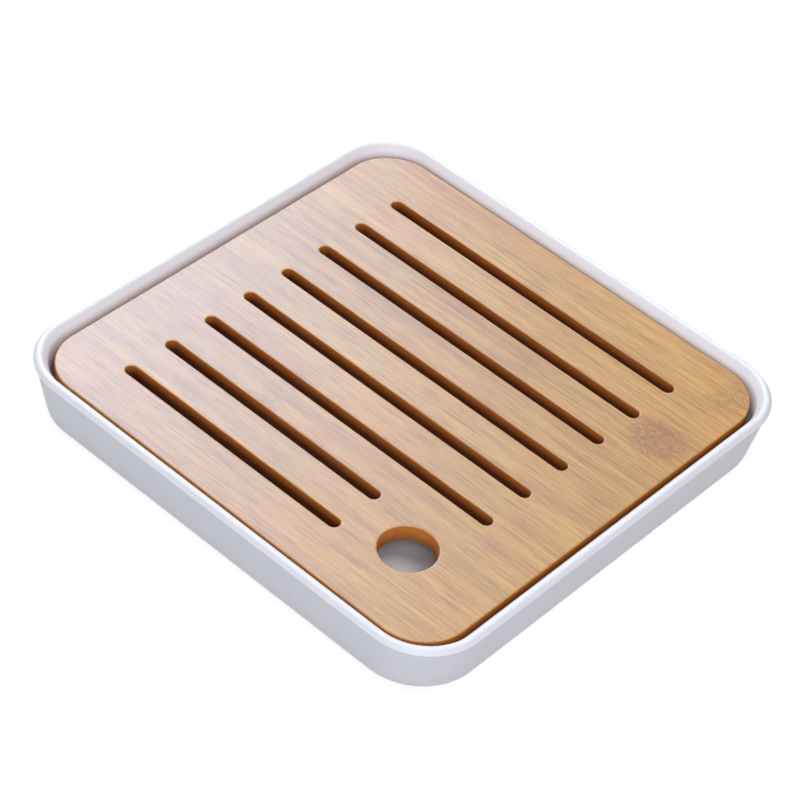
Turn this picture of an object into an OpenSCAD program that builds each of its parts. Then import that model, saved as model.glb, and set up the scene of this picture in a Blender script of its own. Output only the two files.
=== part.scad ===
// Gongfu tea tray: a slotted bamboo deck that lies loose in a white moulded pan.
// Millimetres, +Z up. X runs along the drain slots and Y across them.
// The origin is on the table, under the middle of the pan.

/* [Deck] */
// Length of the bamboo deck, along the slots
deck_l = 232; // [200:0.5:320]
// Width of the deck, across the slots
deck_w = 228; // [200:0.5:320]
// Thickness of the deck
deck_t = 9; // [6:0.5:14]
// Corner radius of the deck's outline
deck_corner_r = 23.2; // [8:0.2:34]
// Chamfer that breaks the deck's outer edges
deck_edge = 0.6; // [0.2:0.1:1.5]

/* [Bamboo strips] */
// Wood between the back slot and the glue line behind it
back_web = 1.3; // [0.8:0.1:6]
// Wood between the front slot and the glue line in front of it
front_web = 4.2; // [0.8:0.1:10]

/* [Drain slots] */
// Number of slots
slot_count = 8; // [2:1:8]
// Width of a slot
slot_w = 6; // [4.5:0.1:9]
// Distance from the deck's back edge to the middle of the first slot
slot_back = 30.2; // [20:0.1:40]
// Distance from the deck's front edge to the middle of the last slot
slot_front = 27.7; // [20:0.1:40]
// Distance from the deck's left edge to the left ends of the slots
slot_left = 30.4; // [12:0.1:50]
// Distance from the deck's right edge to the right ends of the long slots
slot_right = 32.1; // [12:0.1:50]

/* [Finger hole] */
// Diameter of the hole that the deck is lifted by
hole_d = 26; // [18:0.5:32]
// Distance from the deck's right edge to the middle of the hole
hole_right = 45.9; // [30:0.1:60]
// Distance from the deck's front edge to the middle of the hole
hole_front = 39.7; // [30:0.1:60]
// Wood left between the hole and the slots that stop short of it
hole_web = 15.2; // [4:0.1:30]

/* [Pan] */
// Height of the pan from its underside to the top of the rim
pan_h = 29; // [24:0.5:50]
// How far the deck's top lies below the top of the rim
deck_drop = 4.2; // [3:0.1:8]
// Gap between the deck's ends and the pan, at the deck's top
gap_end = 2.7; // [1.5:0.1:6]
// Gap between the deck's sides and the pan, at the deck's top
gap_side = 1.6; // [1.2:0.1:6]
// Distance from the pan's inner wall, at the deck's top, out to the edge of the rim
rim_reach = 6.7; // [6:0.1:10]
// Radius of the round crown that runs along the rim
crown_r = 1.9; // [1:0.1:2.4]
// Distance from the edge of the rim in to the middle of its crown
crown_in = 2.9; // [2.6:0.1:4]
// How far the lower edge of the rim's lip lies below the top of the rim
lip_drop = 2.5; // [1.5:0.1:4]
// Outer corner radius of the rim
rim_corner_r = 30.2; // [20:0.2:44]
// Step from the edge of the rim in to the wall below it
rim_step = 0.9; // [0.4:0.1:2]
// Distance from the edge of the rim in to the foot of the wall
foot_in = 4.5; // [2.5:0.1:6]
// Corner radius of the pan's foot
foot_corner_r = 29.9; // [24:0.1:44]
// Rounding where the wall turns under at the foot
foot_round = 2.4; // [1:0.1:4]
// Thickness of the pan's floor
floor_t = 3.5; // [2.5:0.1:6]
// How far the inner wall leans in from the deck's top down to the floor
wall_lean = 0.8; // [0.2:0.1:1]
// Diameter of the round posts on the floor that carry the deck's corners
post_d = 18; // [10:0.5:24]
// Distance from the deck's edges in to the middle of a post
post_in = 14; // [13:0.1:24]

/* [Feet] */
// Diameter of a rubber foot
foot_d = 16; // [8:0.5:24]
// Thickness of a rubber foot
foot_t = 2.2; // [1.6:0.1:3]
// How far a foot stands out below the pan
foot_proud = 1; // [0.5:0.1:1.4]
// Distance from the pan's foot line in to the middle of a rubber foot
foot_set_in = 25; // [16:0.5:60]
// Play between a rubber foot and the wall of its pocket
foot_fit = 0.2; // [0.1:0.05:0.5]

/* [Hidden] */

// Ten strips: a back one, a front one and eight alike between them
strip_count = 10;
back_strip_w = slot_back - slot_w / 2 - back_web;
front_strip_w = slot_front - slot_w / 2 - front_web;
strip_w = (deck_w - back_strip_w - front_strip_w) / (strip_count - 2);
slot_pitch = (deck_w - slot_back - slot_front) / (slot_count - 1);
hole_x = deck_l / 2 - hole_right;
hole_y = -deck_w / 2 + hole_front;

pan_l = deck_l + 2 * (gap_end + rim_reach);
pan_w = deck_w + 2 * (gap_side + rim_reach);
floor_in = rim_reach + wall_lean;

// Heights above the table
pan_z = foot_proud;
rim_z = pan_z + pan_h;
crown_z = rim_z - crown_r;
lip_z = rim_z - lip_drop;
deck_top_z = rim_z - deck_drop;
deck_z = deck_top_z - deck_t;
floor_z = pan_z + floor_t;

// Overlap that keeps a cut from ending on the face that it opens
cut = 1;
// Thickness of the discs that a smooth wall is stretched between
disc_t = 0.01;
// Facets of the large corners, of the foot's small rounding and of other round parts
corner_fn = 64;
foot_round_fn = 16;
round_fn = 48;

pan_color = "#f1f1f3";
foot_color = "#55565a";
deck_colors = ["#d3a878", "#dcb588", "#cfa271", "#d8b083", "#dbb68b"];

// Middle of a slot across the deck. Slots are counted from 0 at the back
function slot_y(i) = deck_w / 2 - slot_back - i * slot_pitch;

// A slot is short where it would run into the finger hole
function is_short(i) = abs(slot_y(i) - hole_y) < hole_d / 2 + slot_w;

// Right end of a slot
function slot_end_x(i) = is_short(i) ? hole_x - hole_d / 2 - hole_web : deck_l / 2 - slot_right;

// Back edge of a strip. Strips are counted from 1 at the back
function strip_back_y(i) = deck_w / 2 - (i == 1 ? 0 : back_strip_w + (i - 2) * strip_w);

// Front edge of a strip
function strip_front_y(i) = i == strip_count ? -deck_w / 2 : strip_back_y(i + 1);

// Direction, across the rim's crown, that a face from an inset and a height looks in where it
// runs into the crown. Side is -1 for the lip's face and 1 for the inner face
function crown_angle(inset, z, side) =
    let (away = [inset - crown_in, z - crown_z])
    atan2(away[1], away[0]) + side * acos(crown_r / norm(away));

// Inset and height of the corner between two faces round the crown that look in directions a and b
function crown_corner(a, b) =
    let (reach = crown_r / cos((a - b) / 2))
    [crown_in + reach * cos((a + b) / 2), crown_z + reach * sin((a + b) / 2)];

// Corners of the rim's section as [inset, height], from the lip's lower edge to the floor
lip_angle = crown_angle(0, lip_z, -1) + 360;
face_angle = crown_angle(rim_reach, deck_top_z, 1);
lip_edge = [0, lip_z];
lip_top = crown_corner(lip_angle, (lip_angle + 90) / 2);
crown_outer = crown_corner((lip_angle + 90) / 2, 90);
crown_inner = crown_corner(90, (face_angle + 90) / 2);
face_top = crown_corner((face_angle + 90) / 2, face_angle);
face_foot = [rim_reach, deck_top_z];
floor_edge = [floor_in, floor_z];

// Puts a child at the middle of each corner arc of a rounded outline
module at_corners(l, w, r) {
    for (x = [-1, 1], y = [-1, 1])
        translate([x * (l / 2 - r), y * (w / 2 - r), 0])
            children();
}

// Thin rounded outline of the pan, inset from the rim's edge, at height z
module outline(inset, z) {
    r = rim_corner_r - inset;
    at_corners(pan_l - 2 * inset, pan_w - 2 * inset, r)
        translate([0, 0, z])
            cylinder(h = disc_t, r = r, $fn = corner_fn);
}

// Block between two outlines of the pan, each given as [inset, height]
module block(low, high) {
    hull() {
        outline(low[0], low[1]);
        outline(high[0], high[1] - disc_t);
    }
}

// The wall's outer form, rounded where it turns under at the foot
module wall_form() {
    hull() {
        outline(rim_step, lip_z - disc_t);
        at_corners(pan_l - 2 * foot_in, pan_w - 2 * foot_in, foot_corner_r)
            translate([0, 0, pan_z + foot_round])
                rotate_extrude($fn = corner_fn)
                    translate([foot_corner_r - foot_round, 0])
                        circle(r = foot_round, $fn = foot_round_fn);
    }
}

// The space inside the rim and above the floor, open at the top
module inner_space() {
    lap = [0, disc_t];
    block(floor_edge, face_foot + lap);
    block(face_foot, face_top + lap);
    block(face_top, 2 * crown_inner - face_top);
}

// Posts that stand on the floor under the deck's corners
module posts() {
    for (x = [-1, 1], y = [-1, 1])
        translate([x * (deck_l / 2 - post_in), y * (deck_w / 2 - post_in), floor_z - cut])
            cylinder(h = deck_z - floor_z + cut, r = post_d / 2, $fn = round_fn);
}

// Puts a child at the middle of one foot, x and y being -1 or 1
module at_foot(x, y) {
    translate([x * (pan_l / 2 - foot_in - foot_set_in), y * (pan_w / 2 - foot_in - foot_set_in), 0])
        children();
}

module pan() {
    color(pan_color)
        difference() {
            union() {
                difference() {
                    union() {
                        wall_form();
                        block(lip_edge, lip_top);
                        block(lip_top, crown_outer);
                    }
                    inner_space();
                }
                posts();
            }
            for (x = [-1, 1], y = [-1, 1])
                at_foot(x, y)
                    cylinder(h = foot_t, r = foot_d / 2 + foot_fit, $fn = round_fn);
        }
}

// Section of the deck, w wide, with its four edges broken
module bar_section(w) {
    e = deck_edge;
    polygon([
        [-w / 2, e], [-w / 2 + e, 0], [w / 2 - e, 0], [w / 2, e],
        [w / 2, deck_t - e], [w / 2 - e, deck_t], [-w / 2 + e, deck_t], [-w / 2, deck_t - e]
    ]);
}

// The whole deck at its place, before its slots are cut
module deck_blank() {
    r = deck_corner_r;
    e = deck_edge;
    translate([0, 0, deck_z]) {
        at_corners(deck_l, deck_w, r)
            rotate_extrude($fn = corner_fn)
                polygon([[0, 0], [r - e, 0], [r, e], [r, deck_t - e], [r - e, deck_t], [0, deck_t]]);
        rotate([90, 0, 90])
            linear_extrude(height = deck_l - 2 * r, center = true)
                bar_section(deck_w);
        rotate([90, 0, 0])
            linear_extrude(height = deck_w - 2 * r, center = true)
                bar_section(deck_l);
    }
}

// Cutter for one slot with round ends
module slot(i) {
    r = slot_w / 2;
    left_x = -deck_l / 2 + slot_left + r;
    right_x = slot_end_x(i) - r;
    translate([0, slot_y(i), deck_z - cut]) {
        for (x = [left_x, right_x])
            translate([x, 0, 0])
                cylinder(h = deck_t + 2 * cut, r = r, $fn = round_fn);
        translate([left_x, -r, 0])
            cube([right_x - left_x, slot_w, deck_t + 2 * cut]);
    }
}

// Cutter for the finger hole
module finger_hole() {
    translate([hole_x, hole_y, deck_z - cut])
        cylinder(h = deck_t + 2 * cut, r = hole_d / 2, $fn = round_fn);
}

// One glued strip of the deck, with the parts of the slots and the hole that fall in it
module deck_strip(i) {
    color(deck_colors[i % len(deck_colors)])
        difference() {
            intersection() {
                deck_blank();
                translate([-deck_l / 2 - cut, strip_front_y(i), deck_z - cut])
                    cube([deck_l + 2 * cut, strip_back_y(i) - strip_front_y(i), deck_t + 2 * cut]);
            }
            for (s = [0 : slot_count - 1])
                slot(s);
            finger_hole();
        }
}

module foot(x, y) {
    color(foot_color)
        at_foot(x, y)
            cylinder(h = foot_t, r = foot_d / 2, $fn = round_fn);
}

pan();
deck_strip(1);  // deck_strip_1
deck_strip(2);  // deck_strip_2
deck_strip(3);  // deck_strip_3
deck_strip(4);  // deck_strip_4
deck_strip(5);  // deck_strip_5
deck_strip(6);  // deck_strip_6
deck_strip(7);  // deck_strip_7
deck_strip(8);  // deck_strip_8
deck_strip(9);  // deck_strip_9
deck_strip(10);  // deck_strip_10
foot(-1, -1);  // foot_front_left
foot(1, -1);  // foot_front_right
foot(-1, 1);  // foot_back_left
foot(1, 1);  // foot_back_right
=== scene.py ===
"""Looks of a gongfu tea tray: a slotted bamboo deck that lies loose in a white melamine pan."""

import math

import bmesh
import bpy
from mathutils import Matrix, Vector


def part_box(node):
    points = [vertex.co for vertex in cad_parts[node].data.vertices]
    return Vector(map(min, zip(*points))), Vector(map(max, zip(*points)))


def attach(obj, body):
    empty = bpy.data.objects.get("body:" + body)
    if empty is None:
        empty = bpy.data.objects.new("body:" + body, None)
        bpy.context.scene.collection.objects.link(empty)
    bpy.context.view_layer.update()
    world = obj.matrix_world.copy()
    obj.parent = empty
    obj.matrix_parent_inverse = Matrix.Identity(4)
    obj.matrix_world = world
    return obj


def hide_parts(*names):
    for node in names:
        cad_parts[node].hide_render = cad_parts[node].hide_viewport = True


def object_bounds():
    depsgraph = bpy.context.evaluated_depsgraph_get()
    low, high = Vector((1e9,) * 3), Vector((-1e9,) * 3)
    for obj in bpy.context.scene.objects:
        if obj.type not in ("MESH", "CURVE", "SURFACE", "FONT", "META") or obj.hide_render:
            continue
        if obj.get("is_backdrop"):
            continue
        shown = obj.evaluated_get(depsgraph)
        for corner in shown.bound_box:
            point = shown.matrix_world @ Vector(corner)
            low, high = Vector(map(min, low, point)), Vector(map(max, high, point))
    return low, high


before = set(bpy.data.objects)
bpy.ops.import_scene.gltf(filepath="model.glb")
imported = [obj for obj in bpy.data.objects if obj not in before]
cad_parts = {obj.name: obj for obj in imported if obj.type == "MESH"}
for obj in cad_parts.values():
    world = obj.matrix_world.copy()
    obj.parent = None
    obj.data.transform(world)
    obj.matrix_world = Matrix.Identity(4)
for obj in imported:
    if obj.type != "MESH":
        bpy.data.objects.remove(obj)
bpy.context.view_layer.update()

# Driving sizes in metres, as in the CAD source
MM = 0.001
STRIP_COUNT = 10
SLOT_COUNT = 8
SLOT_W = 6 * MM
SLOT_BACK = 30.2 * MM
SLOT_FRONT = 27.7 * MM
SLOT_LEFT = 30.4 * MM
SLOT_RIGHT = 32.1 * MM
DECK_CORNER_R = 23.2 * MM
HOLE_D = 26 * MM
HOLE_RIGHT = 45.9 * MM
HOLE_FRONT = 39.7 * MM
HOLE_WEB = 15.2 * MM
RIM_REACH = 6.7 * MM
RIM_CORNER_R = 30.2 * MM
LIP_DROP = 2.5 * MM
LIP_STEP = 0.9 * MM
CROWN_IN = 2.9 * MM
CROWN_R = 1.9 * MM
FOOT_IN = 4.5 * MM
FOOT_CORNER_R = 29.9 * MM
FOOT_ROUND = 2.4 * MM
FLOOR_T = 3.5 * MM
WALL_LEAN = 0.8 * MM
POST_R = 9 * MM
POST_IN = 14 * MM
FOOT_FIT = 0.2 * MM

# Small forms that the CAD model leaves plain, or has as a chamfer
DECK_ROUND = 0.6 * MM
SLOT_ROUND = 0.55 * MM
HOLE_ROUND = 0.7 * MM
FLOOR_FILLET = 3.2 * MM
POST_FILLET = 1.5 * MM
POST_ROUND = 0.8 * MM
POCKET_ROUND = 0.3 * MM
LIP_ROUND = 0.2 * MM
LIP_CREASE = 0.2 * MM
INNER_BEND = 6 * MM
FOOT_BEVEL = 0.35 * MM
# Width of the flat ring that keeps the shading of a flat face flat up to its edge
GUARD = 0.4 * MM
# How far the pan's section runs in along the underside and along the floor
UNDER_RUN = 2 * FOOT_ROUND
FLOOR_RUN = 1.5 * FLOOR_FILLET

# Steps in a quarter turn of an outline
CORNER_STEPS = 20
SLOT_STEPS = 10
HOLE_STEPS = 24
POST_STEPS = 10
# Steps across a rounding: the rim's crown and the floor's fillet, other edges, the pockets and the feet
CROWN_STEPS = 12
ROUND_STEPS = 5
POCKET_STEPS = 3
FOOT_BEVEL_STEPS = 3

# Edges sharper than this stay crisp
CRISP_ANGLE = math.radians(38)
# Points closer than this are merged
WELD = 0.002 * MM
# Lengths under this count as none
HAIRLINE = 0.001 * MM

strip_names = [f"deck_strip_{i}" for i in range(1, STRIP_COUNT + 1)]
foot_names = ["foot_front_left", "foot_front_right", "foot_back_left", "foot_back_right"]
strip_boxes = [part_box(name) for name in strip_names]
pan_low, pan_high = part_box("pan")
deck_low = Vector(min(low[k] for low, _ in strip_boxes) for k in range(3))
deck_high = Vector(max(high[k] for _, high in strip_boxes) for k in range(3))

lip_z = pan_high.z - LIP_DROP
floor_z = pan_low.z + FLOOR_T
hole_x = deck_high.x - HOLE_RIGHT
hole_y = deck_low.y + HOLE_FRONT


def slot_y(i):
    """Middle of slot i across the deck, counted from 0 at the back."""
    first = deck_high.y - SLOT_BACK
    last = deck_low.y + SLOT_FRONT
    return first + (last - first) * i / (SLOT_COUNT - 1)


def slot_ends(i):
    """Left and right end of slot i. The slots beside the finger hole are short."""
    short = abs(slot_y(i) - hole_y) < HOLE_D / 2 + SLOT_W
    right = hole_x - HOLE_D / 2 - HOLE_WEB if short else deck_high.x - SLOT_RIGHT
    return deck_low.x + SLOT_LEFT, right


# Mesh tools
def outline(half_x, half_y, radius, z, steps, x=0.0, y=0.0):
    """Points of a rounded rectangle, stadium or circle, anticlockwise seen from above."""
    core_x = half_x - radius
    core_y = half_y - radius
    points = []
    for quarter in range(4):
        sign_x = 1 if quarter in (0, 3) else -1
        sign_y = 1 if quarter < 2 else -1
        straight = core_x if quarter % 2 == 0 else core_y
        for step in range(steps + (1 if straight > HAIRLINE else 0)):
            angle = (quarter + step / steps) * math.pi / 2
            points.append(Vector((
                x + sign_x * core_x + radius * math.cos(angle),
                y + sign_y * core_y + radius * math.sin(angle),
                z,
            )))
    return points


def skin(bm, outlines):
    """Rings of faces through the outlines, in order. Returns the rings' vertices."""
    rings = [[bm.verts.new(p) for p in points] for points in outlines]
    for low, high in zip(rings, rings[1:]):
        for k in range(len(low)):
            following = (k + 1) % len(low)
            bm.faces.new((low[k], low[following], high[following], high[k]))
    return rings


def ring_edges(bm, ring):
    """Edges between each vertex of a ring and the one before it."""
    return [bm.edges.get((ring[k - 1], ring[k])) for k in range(len(ring))]


def fill_between(bm, rings):
    """Flat face inside the first ring and outside the others."""
    edges = [edge for ring in rings for edge in ring_edges(bm, ring)]
    bmesh.ops.triangle_fill(bm, edges=edges, use_beauty=True, use_dissolve=False)


def quarter_round(radius, start, steps=ROUND_STEPS):
    """Points (out, up) on a quarter circle of the radius, from the start angle in quarter turns."""
    angles = [(start + k / steps) * math.pi / 2 for k in range(steps + 1)]
    return [(radius * math.cos(a), radius * math.sin(a)) for a in angles]


def new_piece(bm, name, body, *replaced):
    """Object from a closed bmesh, that rides on a body and stands for CAD nodes."""
    bmesh.ops.remove_doubles(bm, verts=bm.verts, dist=WELD)
    bmesh.ops.recalc_face_normals(bm, faces=bm.faces)
    for face in bm.faces:
        face.smooth = True
    for edge in bm.edges:
        edge.smooth = len(edge.link_faces) == 2 and edge.calc_face_angle() < CRISP_ANGLE
    mesh = bpy.data.meshes.new(name)
    bm.to_mesh(mesh)
    bm.free()
    piece = bpy.data.objects.new(name, mesh)
    bpy.context.scene.collection.objects.link(piece)
    weighted = piece.modifiers.new("weighted_normals", "WEIGHTED_NORMAL")
    weighted.keep_sharp = True
    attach(piece, body)
    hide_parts(*replaced)
    return piece


# Pan
def fillet(before, corner, after, radius, steps=ROUND_STEPS):
    """Points on the arc that rounds a corner of a section. All points are (inset, height)."""
    into = (corner - before).normalized()
    out = (after - corner).normalized()
    turn = math.acos(max(-1.0, min(1.0, into.dot(out))))
    side = 1 if into.cross(out) > 0 else -1
    start = corner - into * radius * math.tan(turn / 2)
    middle = start + Vector((-into.y, into.x)) * radius * side
    arm = start - middle
    points = []
    for k in range(steps + 1):
        angle = side * turn * k / steps
        cosine, sine = math.cos(angle), math.sin(angle)
        points.append(middle + Vector((cosine * arm.x - sine * arm.y, sine * arm.x + cosine * arm.y)))
    return points


def tangent_angle(point, middle, radius, side):
    """Angle on a circle where the line from an outside point touches it."""
    away = point - middle
    return math.atan2(away.y, away.x) + side * math.acos(radius / away.length)


def pan_section():
    """Half of the pan's section: underside, outer wall, rim, inner wall and floor, as (inset, height)."""
    lean = (FOOT_IN - LIP_STEP) / (lip_z - pan_low.z - FOOT_ROUND)
    under = Vector((FOOT_IN + UNDER_RUN, pan_low.z))
    foot = Vector((FOOT_IN + lean * FOOT_ROUND, pan_low.z))
    crease = Vector((LIP_STEP, lip_z))
    lip = Vector((0, lip_z))
    crown = Vector((CROWN_IN, pan_high.z - CROWN_R))
    bend = Vector((RIM_REACH, deck_high.z))
    corner = Vector((RIM_REACH + WALL_LEAN, floor_z))
    end = Vector((RIM_REACH + WALL_LEAN + FLOOR_RUN, floor_z))
    first = tangent_angle(lip, crown, CROWN_R, -1) + 2 * math.pi
    last = tangent_angle(bend, crown, CROWN_R, 1)
    over = []
    for k in range(CROWN_STEPS + 1):
        angle = first + (last - first) * k / CROWN_STEPS
        over.append(crown + CROWN_R * Vector((math.cos(angle), math.sin(angle))))
    points = [under + Vector((GUARD, 0))]
    points += fillet(under, foot, crease, FOOT_ROUND)
    points += fillet(foot, crease, lip, LIP_CREASE)
    points += fillet(crease, lip, over[0], LIP_ROUND)
    points += over
    points += fillet(over[-1], bend, corner, INNER_BEND)
    points += fillet(bend, corner, end, FLOOR_FILLET, CROWN_STEPS)
    points.append(end)
    return points


def pan_outlines():
    """Outlines of the pan through each point of its section."""
    foot_arm = FOOT_CORNER_R + FOOT_IN
    low = pan_low.z + FOOT_ROUND
    made = []
    for inset, z in pan_section():
        share = max(0.0, min(1.0, (z - low) / (lip_z - low)))
        arm = foot_arm + (RIM_CORNER_R - foot_arm) * share
        made.append(outline(pan_high.x - inset, pan_high.y - inset, arm - inset, z, CORNER_STEPS))
    return made


def add_post(bm, x, y):
    """One post that carries a corner of the deck, with a fillet at the floor and a rounded top. Its foot
    reaches a little into the floor, because near the pan's corner it stands in the floor's own fillet."""
    top = deck_low.z
    foot_r = POST_R + POST_FILLET
    head_r = POST_R - POST_ROUND
    profile = [(foot_r, floor_z - POST_FILLET)]
    profile += [(foot_r + out, floor_z + POST_FILLET - up) for out, up in quarter_round(POST_FILLET, 1)]
    profile += [(head_r + out, top - POST_ROUND + up) for out, up in quarter_round(POST_ROUND, 0)]
    profile.append((head_r - GUARD, top))
    rings = skin(bm, [outline(r, r, r, z, POST_STEPS, x, y) for r, z in profile])
    bm.faces.new(rings[0])
    bm.faces.new(rings[-1])


def add_pocket(bm, name):
    """The pocket in the underside that holds a rubber foot. Returns the ring round its mouth."""
    low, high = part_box(name)
    x, y = (low.x + high.x) / 2, (low.y + high.y) / 2
    r = (high.x - low.x) / 2 + FOOT_FIT
    profile = [(r + POCKET_ROUND + GUARD, pan_low.z)]
    profile += [
        (r + POCKET_ROUND - out, pan_low.z + POCKET_ROUND - up)
        for out, up in reversed(quarter_round(POCKET_ROUND, 0, POCKET_STEPS))
    ]
    profile.append((r, high.z))
    rings = skin(bm, [outline(q, q, q, z, POST_STEPS, x, y) for q, z in profile])
    bm.faces.new(rings[-1])
    return rings[0]


def make_pan():
    """The pan in one closed shell, with its posts standing in the floor."""
    bm = bmesh.new()
    rings = skin(bm, pan_outlines())
    bm.faces.new(rings[-1])
    pockets = [add_pocket(bm, name) for name in foot_names]
    fill_between(bm, [rings[0], *pockets])
    for x in (-1, 1):
        for y in (-1, 1):
            add_post(bm, x * (deck_high.x - POST_IN), y * (deck_high.y - POST_IN))
    return new_piece(bm, "pan_shell", "pan", "pan")


# Deck
def wood_edge(bm, half_x, half_y, radius, round_r, steps, into, x=0.0, y=0.0):
    """Side wall of the deck or of an opening in it, with rounded edges. The wood lies on the side that
    into says: -1 inside the outline, 1 outside it. Returns the rings that end in the flat faces."""
    arc = quarter_round(round_r, 0)
    profile = [(round_r + GUARD, deck_low.z)]
    profile += [(round_r - out, deck_low.z + round_r - up) for out, up in reversed(arc)]
    profile += [(round_r - out, deck_high.z - round_r + up) for out, up in arc]
    profile.append((round_r + GUARD, deck_high.z))
    rings = skin(bm, [
        outline(half_x + into * d, half_y + into * d, radius + into * d, z, steps, x, y)
        for d, z in profile
    ])
    return rings[0], rings[-1]


def whole_deck():
    """The glued deck in one piece, with its slots and its finger hole."""
    bm = bmesh.new()
    ends = [wood_edge(bm, deck_high.x, deck_high.y, DECK_CORNER_R, DECK_ROUND, CORNER_STEPS, -1)]
    for i in range(SLOT_COUNT):
        left, right = slot_ends(i)
        half = (right - left) / 2
        ends.append(wood_edge(
            bm, half, SLOT_W / 2, SLOT_W / 2, SLOT_ROUND, SLOT_STEPS, 1, (left + right) / 2, slot_y(i)
        ))
    hole_r = HOLE_D / 2
    ends.append(wood_edge(bm, hole_r, hole_r, hole_r, HOLE_ROUND, HOLE_STEPS, 1, hole_x, hole_y))
    fill_between(bm, [low for low, _ in ends])
    fill_between(bm, [high for _, high in ends])
    return bm


def cut_away(bm, y, side):
    """Removes what lies beyond the plane at y on that side, and closes the cut."""
    everything = [*bm.verts, *bm.edges, *bm.faces]
    bmesh.ops.bisect_plane(
        bm, geom=everything, dist=HAIRLINE, plane_co=(0, y, 0), plane_no=(0, side, 0), clear_outer=True
    )
    bmesh.ops.holes_fill(bm, edges=[edge for edge in bm.edges if edge.is_boundary], sides=0)


def make_strips():
    """The deck sawn along its glue lines into its ten strips."""
    deck = whole_deck()
    strips = []
    for name, (low, high) in zip(strip_names, strip_boxes):
        bm = deck.copy()
        if high.y < deck_high.y - MM:
            cut_away(bm, high.y, 1)
        if low.y > deck_low.y + MM:
            cut_away(bm, low.y, -1)
        strips.append(new_piece(bm, f"bamboo_{name}", "deck", name))
    deck.free()
    return strips


# Materials
def rgb(red, green, blue):
    """Linear colour."""
    return (red, green, blue, 1.0)


def grey(level):
    """Linear grey."""
    return rgb(level, level, level)


class Nodes:
    """A node tree that is built up. Sockets or plain values go in and sockets come out."""

    def __init__(self, tree):
        self.tree = tree
        tree.nodes.clear()

    def node(self, kind, inputs=None, **settings):
        """New node with its settings, and its inputs by name or number."""
        made = self.tree.nodes.new(kind)
        for key, value in settings.items():
            setattr(made, key, value)
        for key, value in (inputs or {}).items():
            self.feed(made.inputs[key], value)
        return made

    def feed(self, socket, value):
        """Links a socket to the input, or sets its plain value."""
        if isinstance(value, bpy.types.NodeSocket):
            self.tree.links.new(value, socket)
        else:
            socket.default_value = value

    def math(self, operation, a, b=0.0, clamp=False):
        """Result of a sum or other operation on two values."""
        return self.node("ShaderNodeMath", {0: a, 1: b}, operation=operation, use_clamp=clamp).outputs[0]

    def ramp(self, value, low, high, to_low=0.0, to_high=1.0, smooth=True):
        """The value moved from the stretch low to high to the stretch to_low to to_high, and held there."""
        kind = "SMOOTHSTEP" if smooth else "LINEAR"
        inputs = {"Value": value, "From Min": low, "From Max": high, "To Min": to_low, "To Max": to_high}
        return self.node("ShaderNodeMapRange", inputs, interpolation_type=kind).outputs[0]

    def blend(self, share, none, full):
        """Output of a shader between two others."""
        inputs = {0: share, 1: none.outputs[0], 2: full.outputs[0]}
        return self.node("ShaderNodeMixShader", inputs).outputs[0]


class Shader(Nodes):
    """One material's nodes, with a principled surface."""

    def __init__(self, name):
        self.material = bpy.data.materials.new(name)
        self.material.use_nodes = True
        super().__init__(self.material.node_tree)
        self.surface = self.node("ShaderNodeBsdfPrincipled")
        self.node("ShaderNodeOutputMaterial", {"Surface": self.surface.outputs["BSDF"]})
        self.coords = self.node("ShaderNodeTexCoord")

    def set(self, **values):
        """Sockets of the surface, with _ for a space in their names."""
        for key, value in values.items():
            self.feed(self.surface.inputs[key.replace("_", " ")], value)

    def axes(self, source):
        """X, Y and Z of the shaded point in the piece's own frame, or of its normal."""
        return self.node("ShaderNodeSeparateXYZ", {0: self.coords.outputs[source]}).outputs

    def mix(self, factor, a, b, how="MIX"):
        """Colour a with that share of b laid over it."""
        inputs = {0: factor, 6: a, 7: b}
        return self.node("ShaderNodeMix", inputs, data_type="RGBA", blend_type=how).outputs[2]

    def noise(self, size, shift=0.0, detail=2.0, roughness=0.5):
        """Noise from 0 to 1 whose features have that size (x, y, z) in metres."""
        place = self.node("ShaderNodeMapping", {
            "Vector": self.coords.outputs["Object"],
            "Scale": [1 / s for s in size],
            "Location": (shift, shift * 3, shift * 7),
        })
        return self.node("ShaderNodeTexNoise", {
            "Vector": place.outputs[0],
            "Scale": 1.0,
            "Detail": detail,
            "Roughness": roughness,
        }).outputs[0]

    def spot(self, x, y, half_x, half_y, soft=1.0):
        """1 round a point in plan and 0 outside an ellipse. Soft is the share of the way out that falls."""
        inputs = {
            "Vector": self.coords.outputs["Object"],
            "Location": (x, y, 0),
            "Scale": (half_x, half_y, ANY_HEIGHT),
        }
        place = self.node("ShaderNodeMapping", inputs, vector_type="TEXTURE").outputs[0]
        reach = self.node("ShaderNodeVectorMath", {0: place}, operation="LENGTH").outputs["Value"]
        return self.ramp(reach, 1.0 - soft, 1.0, 1.0, 0.0)

    def bump(self, height, strength, distance):
        """Normal bent by a height that spans the distance."""
        inputs = {"Height": height, "Strength": strength, "Distance": distance}
        return self.node("ShaderNodeBump", inputs).outputs[0]


# Half height of a spot, so large that the spot is the same at every height
ANY_HEIGHT = 1e3

BAMBOO_DARK = rgb(0.555, 0.290, 0.040)
BAMBOO_LIGHT = rgb(0.735, 0.420, 0.068)
# Fibres and pinkish clouds, which multiply the colour under them
BAMBOO_FIBRE = rgb(0.69, 0.52, 0.29)
BAMBOO_PINK = rgb(1.0, 0.94, 1.02)
# Cut faces at their top edge, and the painted shade they darken to below it; painted light on the finger
# hole's upper wall
BAMBOO_CUT_TOP = rgb(0.64, 0.20, 0.028)
BAMBOO_CUT_SHADE = rgb(0.15, 0.038, 0.008)
BAMBOO_HOLE_LIGHT = rgb(0.80, 0.29, 0.055)
# Darker underside, as painted shade that also dims the light bounced in the pan, and node marks
BAMBOO_UNDER_SHADE = rgb(0.34, 0.175, 0.060)
BAMBOO_NODE = rgb(0.40, 0.155, 0.008)
# Colour of the sheen on the sanded top
BAMBOO_SHEEN = rgb(0.36, 0.60, 1.0)

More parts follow.
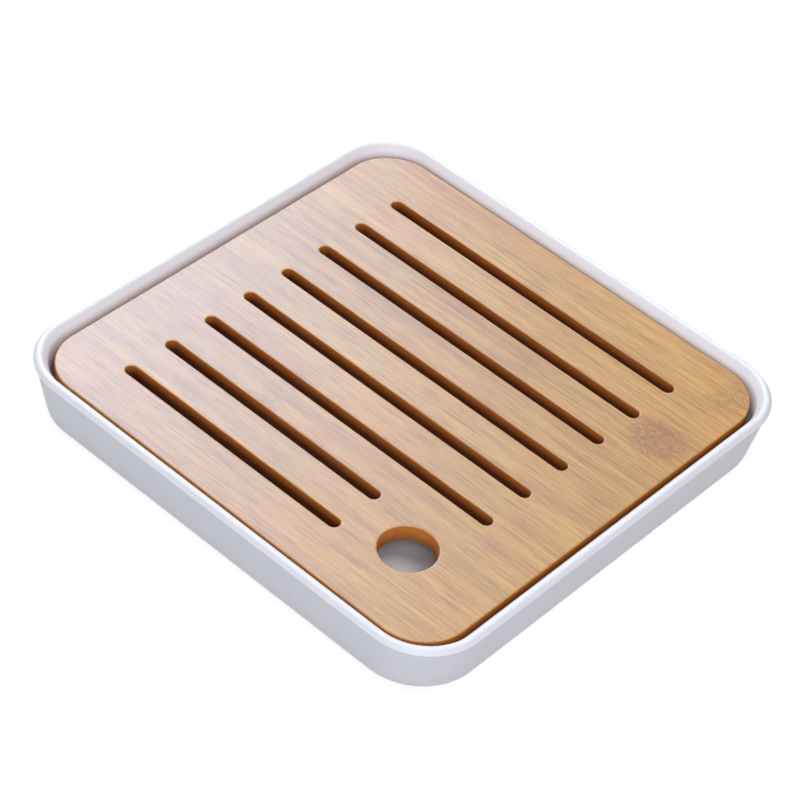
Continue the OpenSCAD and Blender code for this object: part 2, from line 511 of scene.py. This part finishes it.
# Length along the fibres and width of what each noise of the bamboo draws, in millimetres, and the noise's
# shift from the others, detail and roughness
GRAIN = {
    "band": (120, 6, 0.0, 2.0, 0.5),
    "streak": (70, 1.1, 1.7, 3.0, 0.6),
    "hair": (18, 0.27, 3.1, 2.0, 0.6),
    "cloud": (45, 16, 4.9, 2.0, 0.5),
    "speck": (2.6, 0.42, 8.3, 2.0, 0.6),
}
# Shift from the noises of one strip to those of the next
STRIP_SHIFT = 5.3
# Stretch of its noise over which each feature comes in
TONE_FROM_TO = (0.30, 0.70)
FIBRE_FROM_TO = (0.52, 0.36)
PINK_FROM_TO = (0.4, 0.65)
SPECK_FROM_TO = (0.44, 0.58)

# Soft share of a node mark's reach, and the depth of its even tint and of its dots
MARK_SOFT = 0.75
MARK_TINT = 0.10
MARK_DOTS = 0.70
# Width of the darker line along a glued edge, and its depth
GLUE_LINE = 0.3 * MM
GLUE_DEPTH = 0.16
# Height of the normal over which the top's finish gives way to the underside's painted shade
UNDER_SHADE_FROM_TO = (-0.5, -0.9)

# Depths at which painted shade starts on the sawn and routed faces, and where it is deepest
CUT_SHADE_START = 0.3 * MM
CUT_SHADE_DEPTH = 5.5 * MM
# Share of that painted shade on the deck's outer edge
CUT_EDGE_SHADE = 0.8
# All slots and the finger hole lie within this distance of the deck's middle lines
CUT_INSIDE = 95 * MM
# Faces whose normal is less upright than this are cut faces
CUT_STEEP = 0.35
# Share of the painted light in the finger hole at its bottom edge, and the soft share of its reach
HOLE_LIGHT_LOW = 0.4
HOLE_LIGHT_SOFT = 0.4

MELAMINE_LOW = rgb(0.855, 0.860, 0.893)
MELAMINE_HIGH = rgb(0.872, 0.876, 0.905)
RUBBER_LOW = rgb(0.075, 0.075, 0.08)
RUBBER_HIGH = rgb(0.11, 0.11, 0.115)

# For each strip from the back: brightness, and its node marks as (x, y, half length, half width, depth)
STRIPS = [
    (1.04, [(106, 100, 14, 16, 1.0), (60, 96, 16, 10, 0.4)]),
    (1.05, [(0, 78, 14, 13, 0.4)]),
    (0.96, [(99, 55, 19, 19, 1.8), (30, 47, 13, 9, 0.5), (-12.5, 70.5, 1, 0.7, 4)]),
    (0.95, [(30, 38, 11, 8, 0.5), (28, 24, 10, 7, 0.5), (85.6, 23.7, 2.4, 0.6, 4)]),
    (1.00, [(30, 8, 12, 14, 0.5), (106, 21.8, 9, 0.6, 3)]),
    (1.00, [(-70, -18, 12, 10, 0.3)]),
    (1.01, [(-30, -45, 12, 8, 0.4), (-69, -26.2, 2.2, 0.6, 4)]),
    (1.00, [(-31, -56, 12, 12, 0.7)]),
    (1.03, [(-57, -76, 13, 9, 0.45), (0, -78, 12, 10, 0.4)]),
    (1.04, []),
]


def bamboo(name, seed, tone, marks, low_y, high_y):
    """Sanded bamboo under a satin finish: fibres along X, joints of the cane as speckled marks."""
    s = Shader(name)

    def grain(kind):
        """One of the bamboo's noises, at this strip's own place in it."""
        length, width, shift, detail, roughness = GRAIN[kind]
        return s.noise((length * MM, width * MM, width * MM), STRIP_SHIFT * seed + shift, detail, roughness)

    band = grain("band")
    streak = grain("streak")
    hair = grain("hair")
    cloud = grain("cloud")
    level = s.math("MULTIPLY", s.math("ADD", band, streak), 0.5)
    colour = s.mix(s.ramp(level, *TONE_FROM_TO), BAMBOO_DARK, BAMBOO_LIGHT)
    colour = s.mix(s.ramp(hair, *FIBRE_FROM_TO), colour, BAMBOO_FIBRE, "MULTIPLY")
    colour = s.mix(s.ramp(cloud, *PINK_FROM_TO), colour, BAMBOO_PINK, "MULTIPLY")
    colour = s.mix(1.0, colour, grey(tone), "MULTIPLY")

    speckled = s.ramp(grain("speck"), *SPECK_FROM_TO)
    for x, y, half_x, half_y, depth in marks:
        spot = s.spot(x * MM, y * MM, half_x * MM, half_y * MM, MARK_SOFT)
        tint = s.math("MULTIPLY", spot, MARK_TINT * depth)
        dots = s.math("MULTIPLY", s.math("MULTIPLY", spot, speckled), MARK_DOTS * depth)
        colour = s.mix(s.math("ADD", tint, dots, clamp=True), colour, BAMBOO_NODE)

    # Fine darker line where the strip is glued to its neighbours
    middle = (low_y + high_y) / 2
    half = (high_y - low_y) / 2
    away = s.math("ABSOLUTE", s.math("SUBTRACT", s.axes("Object")[1], middle))
    glue = s.ramp(away, half - GLUE_LINE, half)
    colour = s.mix(s.math("MULTIPLY", glue, GLUE_DEPTH), colour, BAMBOO_CUT_TOP)

    # Painted shade: faces turned down take a darker colour, which also dims the light bounced in the pan
    colour = s.mix(s.ramp(s.axes("Normal")[2], *UNDER_SHADE_FROM_TO), colour, BAMBOO_UNDER_SHADE)

    s.set(
        Base_Color=colour,
        Roughness=s.ramp(streak, 0.2, 0.8, to_low=0.39, to_high=0.45, smooth=False),
        Normal=s.bump(s.math("ADD", streak, hair), strength=0.18, distance=0.05 * MM),
        IOR=1.78,
        Specular_IOR_Level=1.0,
        Specular_Tint=BAMBOO_SHEEN,
    )
    return s.material


def cut_bamboo():
    """Raw faces of the deck's outer edge, slots and finger hole. Painted shade darkens them below their top
    edge, and painted light brightens the finger hole's upper wall.
    """
    s = Shader("bamboo_cut")
    grain = s.noise((9 * MM, 9 * MM, 0.5 * MM), shift=3.0, detail=3.0, roughness=0.6)
    hair = s.noise((5 * MM, 0.35 * MM, 0.35 * MM), shift=5.0)
    x, y, z = s.axes("Object")
    reach = s.math("MAXIMUM", s.math("ABSOLUTE", x), s.math("ABSOLUTE", y))
    outside = s.ramp(reach, CUT_INSIDE, CUT_INSIDE + MM)
    # Painted shade: the cut faces darken with depth below their top edge, a little less on the deck's outer
    # edge
    depth_shade = s.ramp(z, deck_high.z - CUT_SHADE_START, deck_high.z - CUT_SHADE_DEPTH, smooth=False)
    depth_shade = s.math("MULTIPLY", depth_shade, s.ramp(outside, 0.0, 1.0, 1.0, CUT_EDGE_SHADE))
    colour = s.mix(depth_shade, BAMBOO_CUT_TOP, BAMBOO_CUT_SHADE)
    # Painted light: a brighter orange on the finger hole's wall, strongest at its top
    in_hole = s.spot(hole_x, hole_y, HOLE_D, HOLE_D, HOLE_LIGHT_SOFT)
    lit = s.math("MULTIPLY", in_hole, s.ramp(z, deck_low.z, deck_high.z, HOLE_LIGHT_LOW, 1.0))
    colour = s.mix(lit, colour, BAMBOO_HOLE_LIGHT)
    colour = s.mix(s.ramp(grain, 0.35, 0.65, to_low=0.35, to_high=0.0), colour, BAMBOO_FIBRE, "MULTIPLY")
    s.set(
        Base_Color=colour,
        Roughness=s.ramp(hair, 0.3, 0.7, to_low=0.55, to_high=0.7, smooth=False),
        Normal=s.bump(s.math("ADD", grain, hair), strength=0.3, distance=0.06 * MM),
        IOR=1.45,
        Specular_IOR_Level=0.3,
    )
    return s.material


def melamine():
    """White moulded melamine with a clean gloss and the faint unevenness of a moulded skin."""
    s = Shader("white_melamine")
    wave = s.noise((60 * MM, 60 * MM, 30 * MM), shift=2.0, detail=1.0)
    haze = s.noise((9 * MM, 9 * MM, 9 * MM), shift=6.0, detail=3.0)
    s.set(
        Base_Color=s.mix(haze, MELAMINE_LOW, MELAMINE_HIGH),
        Roughness=s.ramp(haze, 0.3, 0.7, to_low=0.42, to_high=0.48, smooth=False),
        Normal=s.bump(wave, strength=0.25, distance=0.15 * MM),
        IOR=1.5,
    )
    return s.material


def rubber():
    """Matt grey rubber with a fine grit."""
    s = Shader("grey_rubber")
    grit = s.noise((0.5 * MM, 0.5 * MM, 0.5 * MM), shift=1.0, detail=3.0)
    s.set(
        Base_Color=s.mix(grit, RUBBER_LOW, RUBBER_HIGH),
        Roughness=s.ramp(grit, 0.3, 0.7, to_low=0.7, to_high=0.85, smooth=False),
        Normal=s.bump(grit, strength=0.4, distance=0.08 * MM),
    )
    return s.material


def dress(piece, *materials):
    """Gives a piece these materials in place of its own."""
    piece.data.materials.clear()
    for material in materials:
        piece.data.materials.append(material)


# Stage, camera and light
# Side of the square floor, in metres
FLOOR_SIZE = 6.0
# Grey of the floor for the light it throws on the tray, and for the camera
FLOOR_BOUNCE = 0.52
FLOOR_SEEN = 0.30
# Light that makes the floor white to the camera
FLOOR_GLOW = 0.80
# Even light from all around
AMBIENT = 0.12
AMBIENT_COLOUR = rgb(0.97, 0.96, 1.0)
# Brightness of the ceiling in glossy things, and the heights above the horizon, as sines, between
# which it comes in
CEILING = 0.4
CEILING_FROM = 0.15
CEILING_TO = 0.55


def background_share(nodes):
    """1 for rays from the camera and for those that polished or clear things send on."""
    path = nodes.node("ShaderNodeLightPath")
    seen = path.outputs["Is Camera Ray"]
    for name in ("Is Glossy Ray", "Is Transmission Ray"):
        seen = nodes.math("MAXIMUM", seen, path.outputs[name])
    return seen


def make_floor():
    """White floor. It shows as white, and keeps a soft trace of the object's shadow."""
    mesh = bpy.data.meshes.new("floor")
    half = FLOOR_SIZE / 2
    corners = [(-half, -half, 0), (half, -half, 0), (half, half, 0), (-half, half, 0)]
    mesh.from_pydata(corners, [], [(0, 1, 2, 3)])
    floor = bpy.data.objects.new("floor", mesh)
    bpy.context.scene.collection.objects.link(floor)
    material = bpy.data.materials.new("floor_white")
    material.use_nodes = True
    nodes = Nodes(material.node_tree)
    bounce = nodes.node("ShaderNodeBsdfDiffuse", {"Color": grey(FLOOR_BOUNCE)})
    matt = nodes.node("ShaderNodeBsdfDiffuse", {"Color": grey(FLOOR_SEEN)})
    glow = nodes.node("ShaderNodeEmission", {"Strength": FLOOR_GLOW})
    seen = nodes.node("ShaderNodeAddShader", {0: matt.outputs[0], 1: glow.outputs[0]})
    either = nodes.blend(background_share(nodes), bounce, seen)
    nodes.node("ShaderNodeOutputMaterial", {"Surface": either})
    dress(floor, material)
    floor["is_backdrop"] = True


def make_world():
    """White to the camera and low in reflections, with a darker ceiling and a soft even light."""
    world = bpy.data.worlds.new("studio")
    bpy.context.scene.world = world
    world.use_nodes = True
    nodes = Nodes(world.node_tree)
    path = nodes.node("ShaderNodeLightPath")
    direction = nodes.node("ShaderNodeTexCoord").outputs["Generated"]
    height = nodes.node("ShaderNodeSeparateXYZ", {0: direction}).outputs[2]
    ceiling = nodes.ramp(height, CEILING_FROM, CEILING_TO, 1.0, CEILING)
    level = nodes.math("MAXIMUM", ceiling, path.outputs["Is Camera Ray"])
    white = nodes.node("ShaderNodeBackground", {"Color": grey(1.0), "Strength": level})
    ambient = nodes.node("ShaderNodeBackground", {"Color": AMBIENT_COLOUR, "Strength": AMBIENT})
    either = nodes.blend(background_share(nodes), ambient, white)
    nodes.node("ShaderNodeOutputWorld", {"Surface": either})


def softbox(name, azimuth, elevation, distance, size, radiance):
    """Square lamp that faces the tray from a direction in degrees, azimuth anticlockwise from +X.
    Its radiance is red, green and blue."""
    across = math.radians(azimuth)
    rise = math.radians(elevation)
    level = math.cos(rise)
    toward = Vector((math.cos(across) * level, math.sin(across) * level, math.sin(rise)))
    light = bpy.data.lights.new(name, "AREA")
    light.shape = "SQUARE"
    light.size = size
    # The power at which a square lamp of this size has the radiance
    light.energy = max(radiance) * math.pi * size * size
    light.color = [channel / max(radiance) for channel in radiance]
    lamp = bpy.data.objects.new(name, light)
    lamp.location = toward * distance
    lamp.rotation_mode = "QUATERNION"
    lamp.rotation_quaternion = toward.to_track_quat("Z", "Y")
    bpy.context.scene.collection.objects.link(lamp)


# Azimuth and elevation, distance and size in metres, and radiance of each lamp
LAMPS = {
    # The window whose sheen lies on the left of the deck and fades across it
    "window": (148, 38, 1.2, 0.60, (6.0, 6.7, 7.1)),
    "overhead": (20, 72, 1.4, 0.60, (5.0, 4.9, 5.05)),
    "left_front": (-142, 66, 1.4, 0.60, (2.9, 2.9, 3.0)),
    "front": (-50, 36, 1.6, 1.20, (2.68, 2.72, 2.98)),
}


def make_lights():
    """The studio's softboxes."""
    for name, (azimuth, elevation, distance, size, radiance) in LAMPS.items():
        softbox(name, azimuth, elevation, distance, size, radiance)


# The camera as fitted to the photograph. Its azimuth runs from -Y towards +X.
CAMERA_AZIMUTH = math.radians(37.448)
CAMERA_ELEVATION = math.radians(43.448)
CAMERA_ROLL = math.radians(7.845)
CAMERA_TARGET = Vector((0.00753, -0.01185, 0.0258))
CAMERA_DISTANCE = 1.256
FOCAL_PX = 2890.4
IMAGE_PX = 800
# Millimetres, as the lens
SENSOR = 36.0


def make_camera():
    """The photograph's view."""
    azimuth, elevation, roll = CAMERA_AZIMUTH, CAMERA_ELEVATION, CAMERA_ROLL
    level = math.cos(elevation)
    back = Vector((math.sin(azimuth) * level, -math.cos(azimuth) * level, math.sin(elevation)))
    level_right = Vector((math.cos(azimuth), math.sin(azimuth), 0))
    level_up = back.cross(level_right)
    right = math.cos(roll) * level_right + math.sin(roll) * level_up
    up = -math.sin(roll) * level_right + math.cos(roll) * level_up
    data = bpy.data.cameras.new("camera")
    data.sensor_width = SENSOR
    data.lens = FOCAL_PX / IMAGE_PX * SENSOR
    camera = bpy.data.objects.new("camera", data)
    turn = Matrix((right, up, back)).transposed().to_4x4()
    camera.matrix_world = Matrix.Translation(CAMERA_TARGET + back * CAMERA_DISTANCE) @ turn
    bpy.context.scene.collection.objects.link(camera)
    bpy.context.scene.camera = camera


pan = make_pan()
dress(pan, melamine())
cut_faces = cut_bamboo()
for number, (strip, (low, high), (tone, marks)) in enumerate(zip(make_strips(), strip_boxes, STRIPS), 1):
    dress(strip, bamboo(f"bamboo_{number}", number, tone, marks, low.y, high.y), cut_faces)
    for face in strip.data.polygons:
        face.material_index = int(abs(face.normal.z) < CUT_STEEP)
foot_material = rubber()
for name in foot_names:
    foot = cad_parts[name]
    dress(foot, foot_material)
    bevel = foot.modifiers.new("edge", "BEVEL")
    bevel.width = FOOT_BEVEL
    bevel.segments = FOOT_BEVEL_STEPS

make_floor()
make_world()
make_lights()
make_camera()
bpy.context.scene.view_settings.view_transform = "Standard"

low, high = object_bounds()
